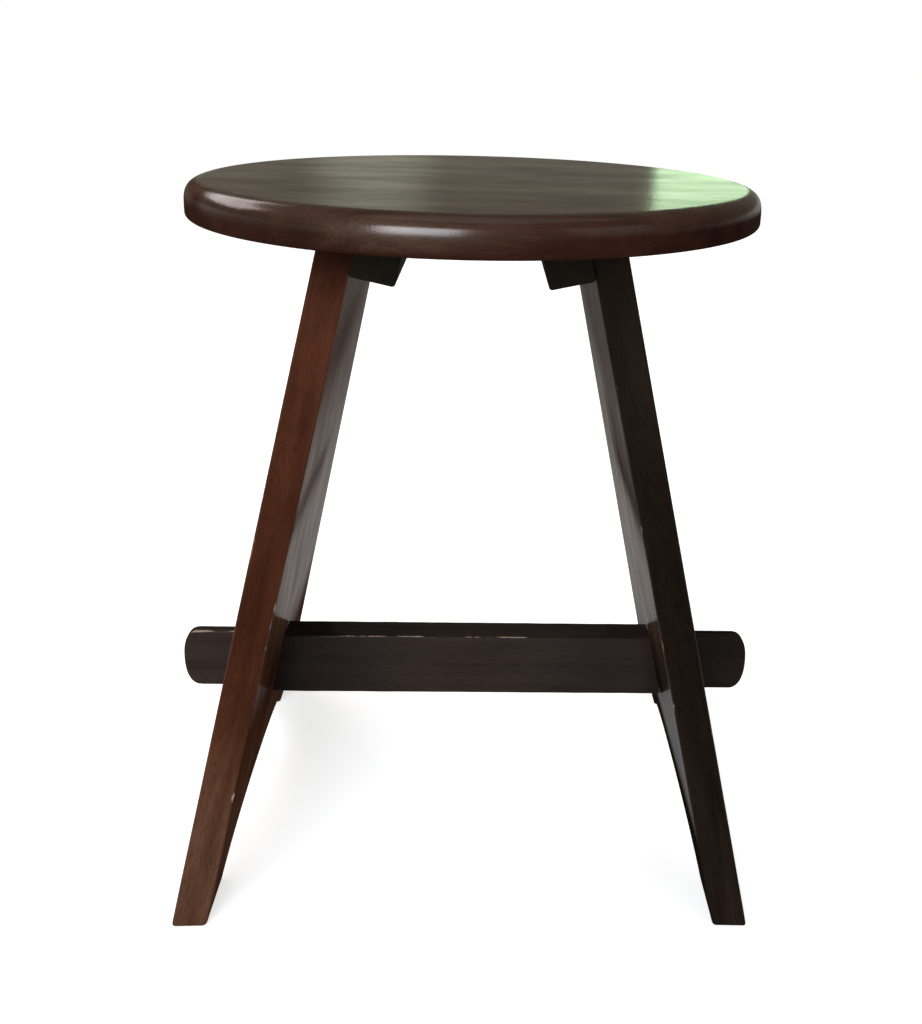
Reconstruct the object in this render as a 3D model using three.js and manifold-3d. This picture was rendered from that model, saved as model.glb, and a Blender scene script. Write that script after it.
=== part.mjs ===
// A stool with a round seat on two plank legs, which lean together towards the top.
// A rail joins the legs near the floor, and its tenons pass right through them.
// Millimetres, +Z up. The origin is on the floor under the middle of the seat.
// X runs along the rail from leg to leg, and Y runs across the legs.

import * as THREE from 'three';
import { mergeVertices, toCreasedNormals } from 'three/addons/utils/BufferGeometryUtils.js';
import Module from 'manifold-3d';

// The whole stool

const stoolHeight = 445.5;
const fitGap = 0.3;

// The seat: a disc with a wide round-over above and a small one below

const seatDiameter = 348;
const seatThickness = 20.5;
const seatRoundWidth = 11;
const seatRoundHeight = 8;
const seatLowerRound = 2.6;

// The legs: planks that are wider at the foot, with an arch between two foot pads

const legLean = THREE.MathUtils.degToRad(12.5);
const legThickness = 20.5;
const footSpread = 355;
const footWidth = 263;
const legTopWidth = 167.5;
const archSpan = 185;
const archRise = 38;
const legArris = 1.5;

// The cleats: battens that lie along the leg tops and hold the seat

const cleatThickness = 26;
const cleatHeight = 25.5;
const cleatOverhang = 10;
const cleatArris = 1.5;

// The rail, with a shoulder on each leg and a thinner tenon through it

const railThickness = 19.5;
const railHeight = 45.5;
const railUnderside = 82;
const railArris = 1.5;
const tenonThickness = 7.5;
const tenonHeight = 43.5;
const tenonProjection = 46.2;
const tenonEndLength = 11.5;
const tenonEndSquareness = 2.4;
const tenonArris = 1.5;

// The countersunk wood screws: up through each cleat into the seat, and across it into the leg

const screwShankDiameter = 4;
const screwHeadDiameter = 8.4;
const screwHeadHeight = 2.6;
const screwPointLength = 7;
const screwPointDiameter = 0.8;
const screwSlotWidth = 1.2;
const screwSlotDepth = 1.2;
const screwSink = 0.6;
const seatScrewCount = 3;
const seatScrewSpacing = 64;
const seatScrewBite = 13;
const legScrewCount = 2;
const legScrewSpacing = 72;
const legScrewBite = 13;

// Facets of round forms

const seatSides = 96;
const screwSides = 16;
const curveSteps = 16;
const tenonEndSteps = 16;
const arrisSteps = 2;
const smoothAngle = THREE.MathUtils.degToRad(30);

// Places worked out from the driving dimensions

const seatUnderside = stoolHeight - seatThickness;
const railMiddle = railUnderside + railHeight / 2;
const cutOverrun = 10;
const slabSize = 4 * Math.max(stoolHeight, footSpread, seatDiameter);
const cleatBottom = alongLean(seatUnderside, legThickness) - cleatHeight;
const cleatFace = legThickness + fitGap;
const tenonReach = outerHalfSpan(railMiddle) + tenonProjection;

// The leg's own frame starts at the outer face's lower arris. Its Z runs up the lean,
// and its X runs square to the plank, outwards.
const legFrame = new THREE.Matrix4().makeRotationY(-legLean).setPosition(footSpread / 2, 0, 0);

// Bases that turn an outline's own x, y and depth into the stool's axes.
const acrossX = new THREE.Matrix4().makeBasis(
  new THREE.Vector3(0, 1, 0),
  new THREE.Vector3(0, 0, 1),
  new THREE.Vector3(1, 0, 0),
);
const acrossY = new THREE.Matrix4().makeBasis(
  new THREE.Vector3(1, 0, 0),
  new THREE.Vector3(0, 0, 1),
  new THREE.Vector3(0, -1, 0),
);

const wasm = await Module();
wasm.setup();

// Length up the lean at which a point, set in by a depth from the outer face, has this height.
function alongLean(height, depth) {
  return (height + depth * Math.sin(legLean)) / Math.cos(legLean);
}

// Distance from the middle of the stool to a leg's outer face at this height.
function outerHalfSpan(height) {
  return footSpread / 2 - height * Math.tan(legLean);
}

// Distance from the middle of the stool to a rail shoulder at this height.
function shoulderHalfSpan(height) {
  return outerHalfSpan(height) - (legThickness + fitGap) / Math.cos(legLean);
}

// Closed solid of a geometry, for cutting and joining.
function solidOf(geometry) {
  const bare = geometry.clone();
  bare.deleteAttribute('normal');
  bare.deleteAttribute('uv');
  const merged = mergeVertices(bare);
  const corners = merged.index.array;
  const triangles = [];
  for (let i = 0; i < corners.length; i += 3) {
    const [a, b, c] = corners.slice(i, i + 3);
    if (a !== b && b !== c && c !== a) {
      triangles.push(a, b, c);
    }
  }
  return new wasm.Manifold(new wasm.Mesh({
    numProp: 3,
    vertProperties: merged.attributes.position.array,
    triVerts: new Uint32Array(triangles),
  }));
}

// Geometry of a solid, with smooth shading on its curves and crisp edges elsewhere.
function geometryOf(solid) {
  const mesh = solid.getMesh();
  const geometry = new THREE.BufferGeometry();
  geometry.setAttribute('position', new THREE.BufferAttribute(mesh.vertProperties, 3));
  geometry.setIndex(new THREE.BufferAttribute(mesh.triVerts, 1));
  return toCreasedNormals(geometry, smoothAngle);
}

// Board cut to an outline, with softened rims, and with its middle plane at depth 0.
function board(outline, thickness, arris) {
  const geometry = new THREE.ExtrudeGeometry(outline, {
    depth: thickness - 2 * arris,
    bevelThickness: arris,
    bevelSize: arris,
    bevelOffset: -arris,
    bevelSegments: arrisSteps,
    curveSegments: curveSteps,
  });
  return geometry.translate(0, 0, arris - thickness / 2);
}

// Plain prism of an outline, with its middle plane at depth 0.
function prism(outline, length) {
  const geometry = new THREE.ExtrudeGeometry(outline, {
    depth: length,
    bevelEnabled: false,
    curveSegments: curveSteps,
  });
  return geometry.translate(0, 0, -length / 2);
}

// Everything between two heights.
function slab(low, high) {
  const geometry = new THREE.BoxGeometry(slabSize, slabSize, high - low);
  return solidOf(geometry.translate(0, 0, (low + high) / 2));
}

// Rectangle with rounded corners, about its own middle.
function roundedRectangle(width, height, radius) {
  const x = width / 2 - radius;
  const y = height / 2 - radius;
  const outline = new THREE.Shape();
  outline.absarc(x, y, radius, 0, Math.PI / 2);
  outline.absarc(-x, y, radius, Math.PI / 2, Math.PI);
  outline.absarc(-x, -y, radius, Math.PI, 1.5 * Math.PI);
  outline.absarc(x, -y, radius, 1.5 * Math.PI, 2 * Math.PI);
  outline.closePath();
  return outline;
}

// Solid of revolution about Z from a path of radius against height.
function turned(path, sides) {
  return new THREE.LatheGeometry(path.getPoints(curveSteps / 2), sides).rotateX(Math.PI / 2);
}

// Wood screw along Z: its head's flat face is at 0 and its point at its length.
// The same form, grown by a gap and open past its head, is the hole that it sits in.
function screwForm(length, gap) {
  const headRadius = screwHeadDiameter / 2 + gap;
  const shankRadius = screwShankDiameter / 2 + gap;
  const top = gap > 0 ? -cutOverrun : 0;
  const path = new THREE.Path();
  path.moveTo(0, top);
  path.lineTo(headRadius, top);
  if (gap > 0) {
    path.lineTo(headRadius, 0);
  }
  path.lineTo(shankRadius, screwHeadHeight);
  path.lineTo(shankRadius, length - screwPointLength);
  path.lineTo(screwPointDiameter / 2 + gap, length + gap);
  path.lineTo(0, length + gap);
  return turned(path, screwSides);
}

function screw(length) {
  const slot = new THREE.BoxGeometry(screwHeadDiameter + cutOverrun, screwSlotWidth, 2 * screwSlotDepth);
  return geometryOf(solidOf(screwForm(length, 0)).subtract(solidOf(slot)));
}

// Distances along Y of a row of screws about the middle.
function rowOf(count, spacing) {
  return Array.from({ length: count }, (_, i) => (i - (count - 1) / 2) * spacing);
}

// Screws of one side in the leg's frame: name, length, place and direction.
function screwPlaces() {
  const seatScrewDepth = cleatFace + cleatThickness / 2;
  const seatScrewStart = cleatBottom + screwSink;
  const seatScrews = rowOf(seatScrewCount, seatScrewSpacing).map((y, i) => ({
    name: `seat_screw_${i + 1}`,
    length: alongLean(seatUnderside, seatScrewDepth) - seatScrewStart + seatScrewBite,
    position: new THREE.Vector3(-seatScrewDepth, y, seatScrewStart),
    rotation: new THREE.Euler(0, 0, 0),
  }));
  const legScrews = rowOf(legScrewCount, legScrewSpacing).map((y, i) => ({
    name: `leg_screw_${i + 1}`,
    length: cleatThickness - screwSink + fitGap + legScrewBite,
    position: new THREE.Vector3(screwSink - cleatFace - cleatThickness, y, cleatBottom + cleatHeight / 2),
    rotation: new THREE.Euler(0, Math.PI / 2, 0),
  }));
  return [...seatScrews, ...legScrews];
}

// Hole for one screw, in the stool's frame on the +X side.
function screwHole(place) {
  const stand = new THREE.Matrix4().makeRotationFromEuler(place.rotation).setPosition(place.position);
  return solidOf(screwForm(place.length, fitGap).applyMatrix4(stand).applyMatrix4(legFrame));
}

function seat(holes) {
  const radius = seatDiameter / 2;
  const profile = new THREE.Path();
  profile.moveTo(0, 0);
  profile.lineTo(radius - seatLowerRound, 0);
  profile.absarc(radius - seatLowerRound, seatLowerRound, seatLowerRound, -Math.PI / 2, 0);
  profile.lineTo(radius, seatThickness - seatRoundHeight);
  profile.absellipse(
    radius - seatRoundWidth,
    seatThickness - seatRoundHeight,
    seatRoundWidth,
    seatRoundHeight,
    0,
    Math.PI / 2,
  );
  profile.lineTo(0, seatThickness);
  let disc = solidOf(turned(profile, seatSides).translate(0, 0, seatUnderside));
  for (const hole of holes) {
    disc = disc.subtract(hole).subtract(hole.rotate([0, 0, 180]));
  }
  return geometryOf(disc);
}

// Outline of a leg across its width and up its lean, left long at both ends for the level cuts.
function legOutline() {
  const length = alongLean(seatUnderside, 0);
  const taper = (footWidth - legTopWidth) / 2 / length;
  const low = -cutOverrun;
  const high = length + 2 * cutOverrun;
  const lowHalf = footWidth / 2 - taper * low;
  const highHalf = footWidth / 2 - taper * high;
  const outline = new THREE.Shape();
  outline.moveTo(-lowHalf, low);
  outline.lineTo(-archSpan / 2, low);
  outline.lineTo(-archSpan / 2, 0);
  outline.absellipse(0, 0, archSpan / 2, archRise, Math.PI, 0, true);
  outline.lineTo(archSpan / 2, low);
  outline.lineTo(lowHalf, low);
  outline.lineTo(highHalf, high);
  outline.lineTo(-highHalf, high);
  outline.closePath();
  return outline;
}

function leg(holes) {
  const blank = board(legOutline(), legThickness, legArris).applyMatrix4(acrossX);
  blank.translate(-legThickness / 2, 0, 0).applyMatrix4(legFrame);
  const mortise = new THREE.BoxGeometry(
    2 * tenonReach,
    tenonThickness + 2 * fitGap,
    tenonHeight + 2 * fitGap,
  );
  let plank = solidOf(blank).intersect(slab(0, seatUnderside - fitGap));
  plank = plank.subtract(solidOf(mortise.translate(0, 0, railMiddle)));
  for (const hole of holes) {
    plank = plank.subtract(hole);
  }
  return geometryOf(plank);
}

// Cleat: square to the leg below, and planed off level above to meet the seat.
function cleat(holes) {
  const length = legTopWidth + 2 * cleatOverhang;
  const outline = new THREE.Shape();
  outline.moveTo(-cleatFace - cleatThickness, cleatBottom);
  outline.lineTo(-cleatFace, cleatBottom);
  outline.lineTo(-cleatFace, cleatBottom + cleatHeight + cleatThickness);
  outline.lineTo(-cleatFace - cleatThickness, cleatBottom + cleatHeight + cleatThickness);
  outline.closePath();
  const blank = board(outline, length, cleatArris).applyMatrix4(acrossY).applyMatrix4(legFrame);
  let batten = solidOf(blank).intersect(slab(0, seatUnderside - fitGap));
  for (const hole of holes) {
    batten = batten.subtract(hole);
  }
  return geometryOf(batten);
}

// Outline of one bar of tenon from end to end. Each end is a curve between a round and a square one.
function tenonOutline() {
  const power = 2 / tenonEndSquareness;
  const half = tenonHeight / 2;
  const flank = tenonReach - tenonEndLength;
  const points = [];
  for (const side of [1, -1]) {
    for (let i = 0; i <= tenonEndSteps; i += 1) {
      const angle = Math.PI * (i / tenonEndSteps - 0.5);
      const out = Math.max(Math.cos(angle), 0) ** power;
      const up = Math.sign(angle) * Math.abs(Math.sin(angle)) ** power;
      points.push(new THREE.Vector2(side * (flank + tenonEndLength * out), side * half * up));
    }
  }
  return new THREE.Shape(points);
}

function rail() {
  const section = roundedRectangle(railThickness, railHeight, railArris);
  const bar = prism(section, 2 * tenonReach).applyMatrix4(acrossX).translate(0, 0, railMiddle);
  const low = railUnderside - cutOverrun;
  const high = railUnderside + railHeight + cutOverrun;
  const shoulders = new THREE.Shape();
  shoulders.moveTo(-shoulderHalfSpan(low), low);
  shoulders.lineTo(shoulderHalfSpan(low), low);
  shoulders.lineTo(shoulderHalfSpan(high), high);
  shoulders.lineTo(-shoulderHalfSpan(high), high);
  shoulders.closePath();
  const between = prism(shoulders, railThickness + 2 * cutOverrun).applyMatrix4(acrossY);
  const tenons = board(tenonOutline(), tenonThickness, tenonArris).applyMatrix4(acrossY);
  const body = solidOf(bar).intersect(solidOf(between));
  return geometryOf(body.add(solidOf(tenons.translate(0, 0, railMiddle))));
}

function varnishedWood(color) {
  return new THREE.MeshStandardMaterial({ color, roughness: 0.35, metalness: 0 });
}

function screwSteel() {
  return new THREE.MeshStandardMaterial({ color: '#77736c', roughness: 0.45, metalness: 1 });
}

function named(name, geometry, material) {
  const mesh = new THREE.Mesh(geometry, material);
  mesh.name = name;
  return mesh;
}

// One leg with its cleat and screws, on the +X side before it is turned to its own side.
function legSide(name, turn, places, holes) {
  const side = new THREE.Group();
  side.rotation.z = turn;
  side.add(named(`${name}_leg`, leg(holes), varnishedWood('#4b2f22')));
  side.add(named(`${name}_cleat`, cleat(holes), varnishedWood('#2f241d')));
  const leaning = new THREE.Group();
  leaning.applyMatrix4(legFrame);
  for (const place of places) {
    const mesh = named(`${name}_${place.name}`, screw(place.length), screwSteel());
    mesh.position.copy(place.position);
    mesh.rotation.copy(place.rotation);
    leaning.add(mesh);
  }
  side.add(leaning);
  return side;
}

const places = screwPlaces();
const holes = places.map(screwHole);

const stool = new THREE.Group();
stool.add(named('seat', seat(holes), varnishedWood('#54352a')));
stool.add(named('stretcher_rail', rail(), varnishedWood('#38291f')));
stool.add(legSide('right', 0, places, holes));
stool.add(legSide('left', Math.PI, places, holes));

export default stool;
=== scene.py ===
"""Splay-leg stool: a round seat on two plank legs, joined by a rail with through tenons.

Metres, +Z up. The origin is on the floor under the middle of the seat.
X runs along the rail from leg to leg, and Y runs across the legs.
"""

import math
from functools import partial

import bmesh
import bpy
import numpy as np
from mathutils import Matrix, Vector, geometry, noise


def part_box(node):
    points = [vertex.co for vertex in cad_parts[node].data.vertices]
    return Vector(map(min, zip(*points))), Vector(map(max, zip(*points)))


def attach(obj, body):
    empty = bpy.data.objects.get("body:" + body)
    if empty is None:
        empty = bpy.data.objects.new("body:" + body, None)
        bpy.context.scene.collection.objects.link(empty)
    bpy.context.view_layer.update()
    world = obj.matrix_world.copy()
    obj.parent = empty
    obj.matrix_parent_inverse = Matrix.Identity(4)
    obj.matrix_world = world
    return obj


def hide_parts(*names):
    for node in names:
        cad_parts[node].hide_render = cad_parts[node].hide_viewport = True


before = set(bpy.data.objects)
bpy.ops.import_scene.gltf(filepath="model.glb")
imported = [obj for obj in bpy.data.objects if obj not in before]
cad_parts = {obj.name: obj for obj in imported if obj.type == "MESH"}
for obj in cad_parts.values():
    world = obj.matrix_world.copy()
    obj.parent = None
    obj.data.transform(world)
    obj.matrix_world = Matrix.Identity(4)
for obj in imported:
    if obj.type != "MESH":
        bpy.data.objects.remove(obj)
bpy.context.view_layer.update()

bl_info = {
    "name": "Splay-leg stool",
    "version": (1, 0, 0),
    "blender": (4, 5, 0),
    "location": "3D View > Sidebar > Stool",
    "description": "Dresses the packed stool with turned, joined and varnished pieces",
    "category": "Object",
}

MM = 0.001


def linear(code):
    """Linear RGBA of an sRGB hex colour."""
    parts = [int(code[i : i + 2], 16) / 255 for i in (1, 3, 5)]
    return [p / 12.92 if p <= 0.04045 else ((p + 0.055) / 1.055) ** 2.4 for p in parts] + [1.0]


SIDES = (("right", 1), ("left", -1))

# What a user would change

SEAT_LOW, SEAT_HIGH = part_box("seat")
LEG_LOW, LEG_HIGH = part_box("right_leg")
RAIL_LOW, RAIL_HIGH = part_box("stretcher_rail")


def length(name, description, default):
    """Length property in metres."""
    shown = {"subtype": "DISTANCE", "unit": "LENGTH", "precision": 5}
    return bpy.props.FloatProperty(name=name, description=description, default=default, min=0.0, **shown)


def colour(name, description, code):
    """Colour property from an sRGB hex value."""
    shown = {"size": 4, "min": 0.0, "max": 1.0, "subtype": "COLOR"}
    return bpy.props.FloatVectorProperty(name=name, description=description, default=linear(code), **shown)


class StoolSizes(bpy.types.PropertyGroup):
    """Sizes of the stool's pieces."""

    seat_diameter: length("Seat diameter", "Across the round seat", SEAT_HIGH.x - SEAT_LOW.x)
    seat_thickness: length("Seat thickness", "Board that the seat is cut from", SEAT_HIGH.z - SEAT_LOW.z)
    seat_round_width: length("Round-over width", "Reach of the upper round-over towards the middle", 11 * MM)
    seat_round_height: length("Round-over height", "Drop of the upper round-over", 8 * MM)
    seat_lower_round: length("Lower round", "Radius under the rim", 2.6 * MM)
    seat_flat: length("Flat of the seat", "How far one side falls short of the round", 1.9 * MM)
    leg_lean: bpy.props.FloatProperty(
        name="Leg lean",
        description="Angle of each leg from upright",
        default=math.radians(12.5),
        subtype="ANGLE",
        unit="ROTATION",
    )
    leg_thickness: length("Leg thickness", "Plank that the legs are cut from", 20.5 * MM)
    foot_spread: length("Foot spread", "Between the outer faces of the feet", 355 * MM)
    foot_width: length("Foot width", "Across a leg at the floor", LEG_HIGH.y - LEG_LOW.y)
    leg_top_width: length("Leg top width", "Across a leg under the seat", 167.5 * MM)
    arch_span: length("Arch span", "Between the two pads of a foot", 185 * MM)
    arch_rise: length("Arch rise", "Height of the arch in a foot", 38 * MM)
    arris: length("Arris radius", "How much the long edges are softened", 1.5 * MM)
    fit_gap: length("Fit gap", "Gap between joined pieces", 0.3 * MM)
    cleat_thickness: length("Cleat thickness", "Batten under the seat, square to the leg", 26 * MM)
    cleat_height: length("Cleat height", "Batten under the seat, up the leg", 25.5 * MM)
    cleat_overhang: length("Cleat overhang", "Past each edge of the leg", 10 * MM)
    rail_thickness: length("Rail thickness", "Front to back", 19.5 * MM)
    rail_height: length("Rail height", "Top to bottom", 45.5 * MM)
    rail_underside: length("Rail underside", "Height of the rail above the floor", RAIL_LOW.z)
    tenon_thickness: length("Tenon thickness", "Front to back", 7.5 * MM)
    tenon_height: length("Tenon height", "Top to bottom", 43.5 * MM)
    tenon_end_length: length("Tenon end length", "Curved part at the tip", 11.5 * MM)
    screw_head: length("Screw head diameter", "Countersunk head", 8.4 * MM)
    screw_shank: length("Screw shank diameter", "Over the thread", 4 * MM)
    screw_head_height: length("Screw head height", "Countersunk cone", 2.6 * MM)
    screw_sink: length("Screw sink", "Head below the face of the cleat", 0.6 * MM)
    seat_screw_spacing: length("Seat screw spacing", "Along the cleat", 64 * MM)
    leg_screw_spacing: length("Leg screw spacing", "Along the cleat", 72 * MM)
    screw_bite: length("Screw bite", "Into the piece that the cleat is screwed to", 13 * MM)


class StoolFinish(bpy.types.PropertyGroup):
    """Colours of the stool's finishes."""

    seat_stain: colour("Seat stain", "Varnished seat", "#331d15")
    # The two leg stains are partly painted light: the left leg is painted lighter and the right one darker,
    # standing in for light that falls off from the left.
    left_leg_stain: colour("Left leg stain", "The redder leg", "#482719")
    right_leg_stain: colour("Right leg stain", "The darker leg", "#1a130e")
    rail_stain: colour("Rail stain", "Rail and tenons", "#28201d")
    cleat_stain: colour("Cleat stain", "Battens under the seat", "#191610")
    # Also the pale tone painted as sheen and reflection: on the inner faces of the legs, in the middle of
    # the rail and below the seat's front highlight, and as painted light on the left tenon.
    faded_stain: colour("Faded stain", "Where light and wiping have bleached the stain", "#705a48")
    # Also the colour of the pale lines painted as glints on a few arrises.
    worn_wood: colour("Worn wood", "Where the varnish is rubbed off the arrises", "#b3a08c")
    screw_steel: colour("Screw steel", "Slotted wood screws", "#77736c")


class Measures:
    """Places worked out from the sizes."""

    def __init__(self, sizes):
        for key in sizes.__annotations__:
            setattr(self, key, getattr(sizes, key))
        self.tan = math.tan(self.leg_lean)
        self.sin = math.sin(self.leg_lean)
        self.cos = math.cos(self.leg_lean)
        self.seat_top = SEAT_HIGH.z
        self.seat_underside = self.seat_top - self.seat_thickness
        self.rail_middle = self.rail_underside + self.rail_height / 2
        self.cleat_face = self.leg_thickness + self.fit_gap
        self.cleat_bottom = self.along_lean(self.seat_underside, self.leg_thickness) - self.cleat_height
        self.tenon_reach = RAIL_HIGH.x

    def along_lean(self, height, depth):
        """Length up the lean of a point at this height, set in by a depth from the outer face."""
        return (height + depth * self.sin) / self.cos

    def outer_half_span(self, height):
        """Distance from the middle to a leg's outer face at this height."""
        return self.foot_spread / 2 - height * self.tan

    def on_leg(self, depth, across, up, side):
        """Point of a leg's own frame, set in by a depth from its outer face, in the stool's frame."""
        x = self.foot_spread / 2 - depth * self.cos - up * self.sin
        z = -depth * self.sin + up * self.cos
        return Vector((side * x, side * across, z))


# Nodes and finishes

MATHS, RANGE, MIX = "ShaderNodeMath", "ShaderNodeMapRange", "ShaderNodeMix"
NOISE, CELLS, MAPPING = "ShaderNodeTexNoise", "ShaderNodeTexVoronoi", "ShaderNodeMapping"
TIMES, MINUS, OVER = {"operation": "MULTIPLY"}, {"operation": "SUBTRACT"}, {"operation": "DIVIDE"}
# A Mix node's sockets for the share and the two colours that it mixes, and for what they give
SHARE, FIRST, SECOND, MIXED = 0, 6, 7, 2

# What the pieces' meshes are painted with
MARKS = ("wear", "faded", "grime", "gloss")

# Each pattern's real size, along the grain and across it
FIGURE = (260 * MM, 12 * MM)
FIBRES = (70 * MM, 1.1 * MM)
# Real pores are about 0.2 mm wide. They are drawn 0.6 mm wide, so that they show in the render.
PORES = (9 * MM, 0.6 * MM)
CLOUDS = (60 * MM, 30 * MM)
RUBBED_PATCHES = (22 * MM, 5 * MM)
NICKS = (17 * MM, 17 * MM)
BRUSH_RIPPLE = (40 * MM, 9 * MM)
# The skin of the varnish is drawn long across the grain, so that it breaks up what is seen in it at a low
# angle.
VARNISH_SKIN = (1.3 * MM, 8 * MM)

# Which values of a pattern count, from none to full, and what they do to the shade, the stain and the gloss
MIDDLE_SPAN = (0.3, 0.7)
FIGURE_SPAN, FIGURE_SWING = (0.32, 0.68), (-0.32, 0.22)
FIBRE_SPAN, FIBRE_SWING = (0.35, 0.75), (-0.16, 0.24)
PORE_SPAN, PORE_SHADE = (0.62, 0.74), 0.55
CLOUD_SHADES, CLOUD_GLOSS = (0.86, 1.14), (0.8, 1.2)
FADE_AND_SHEEN_SWING = (0.6, 1.25)
RUBBED_SPAN = (0.6, 0.68)
NICK_SPAN, NICKS_KEPT = (0.03, 0.018), (0.93, 0.94)
BARE_COLOUR, BARE_GLOSS = 0.6, 0.25

# Heights of the fibres, pores and bare places, and of the ripple, the skin and the wood under the film
WOOD_HEIGHTS, WOOD_RELIEF = (0.5, -0.6, -1.2), 0.06 * MM
FILM_HEIGHTS, FILM_RELIEF = (2.2, 0.8, 0.3), 0.05 * MM
WOOD_ROUGHNESS = 0.5
VARNISH_IOR = 1.5

# Full weight of each piece's varnish, the blur of what is seen in it, and the strength of the figure
SEAT_VARNISH = {"coat": 0.44, "blur": 0.19, "figuring": 0.9}
LEG_VARNISH = {"coat": 0.16, "blur": 0.13, "figuring": 0.8}
CLEAT_VARNISH = {"coat": 0.015, "blur": 0.13, "figuring": 0.5}
RAIL_VARNISH = {"coat": 0.2, "blur": 0.13, "figuring": 0.45}

TARNISH = 3 * MM
TARNISH_SPAN, STEEL_ROUGHNESS = (0.35, 0.7), (0.35, 0.6)
STEEL_RELIEF = 0.03 * MM


def add(tree, kind, inputs=(), output=0, **settings):
    """Adds a node with its settings and links, and gives back one of its outputs, or all of them for None.

    The inputs, in order or by name, are each given a value or the output that feeds them.
    """
    made = tree.nodes.new(kind)
    for name, value in settings.items():
        setattr(made, name, value)
    for key, value in inputs.items() if isinstance(inputs, dict) else enumerate(inputs):
        if isinstance(value, bpy.types.NodeSocket):
            tree.links.new(value, made.inputs[key])
        else:
            made.inputs[key].default_value = value
    return made.outputs if output is None or not made.outputs else made.outputs[output]


def bare_material(name):
    """New material without nodes, and what adds nodes to it."""
    material = bpy.data.materials.new(name)
    material.use_nodes = True
    material.node_tree.nodes.clear()
    return material, partial(add, material.node_tree)


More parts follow.
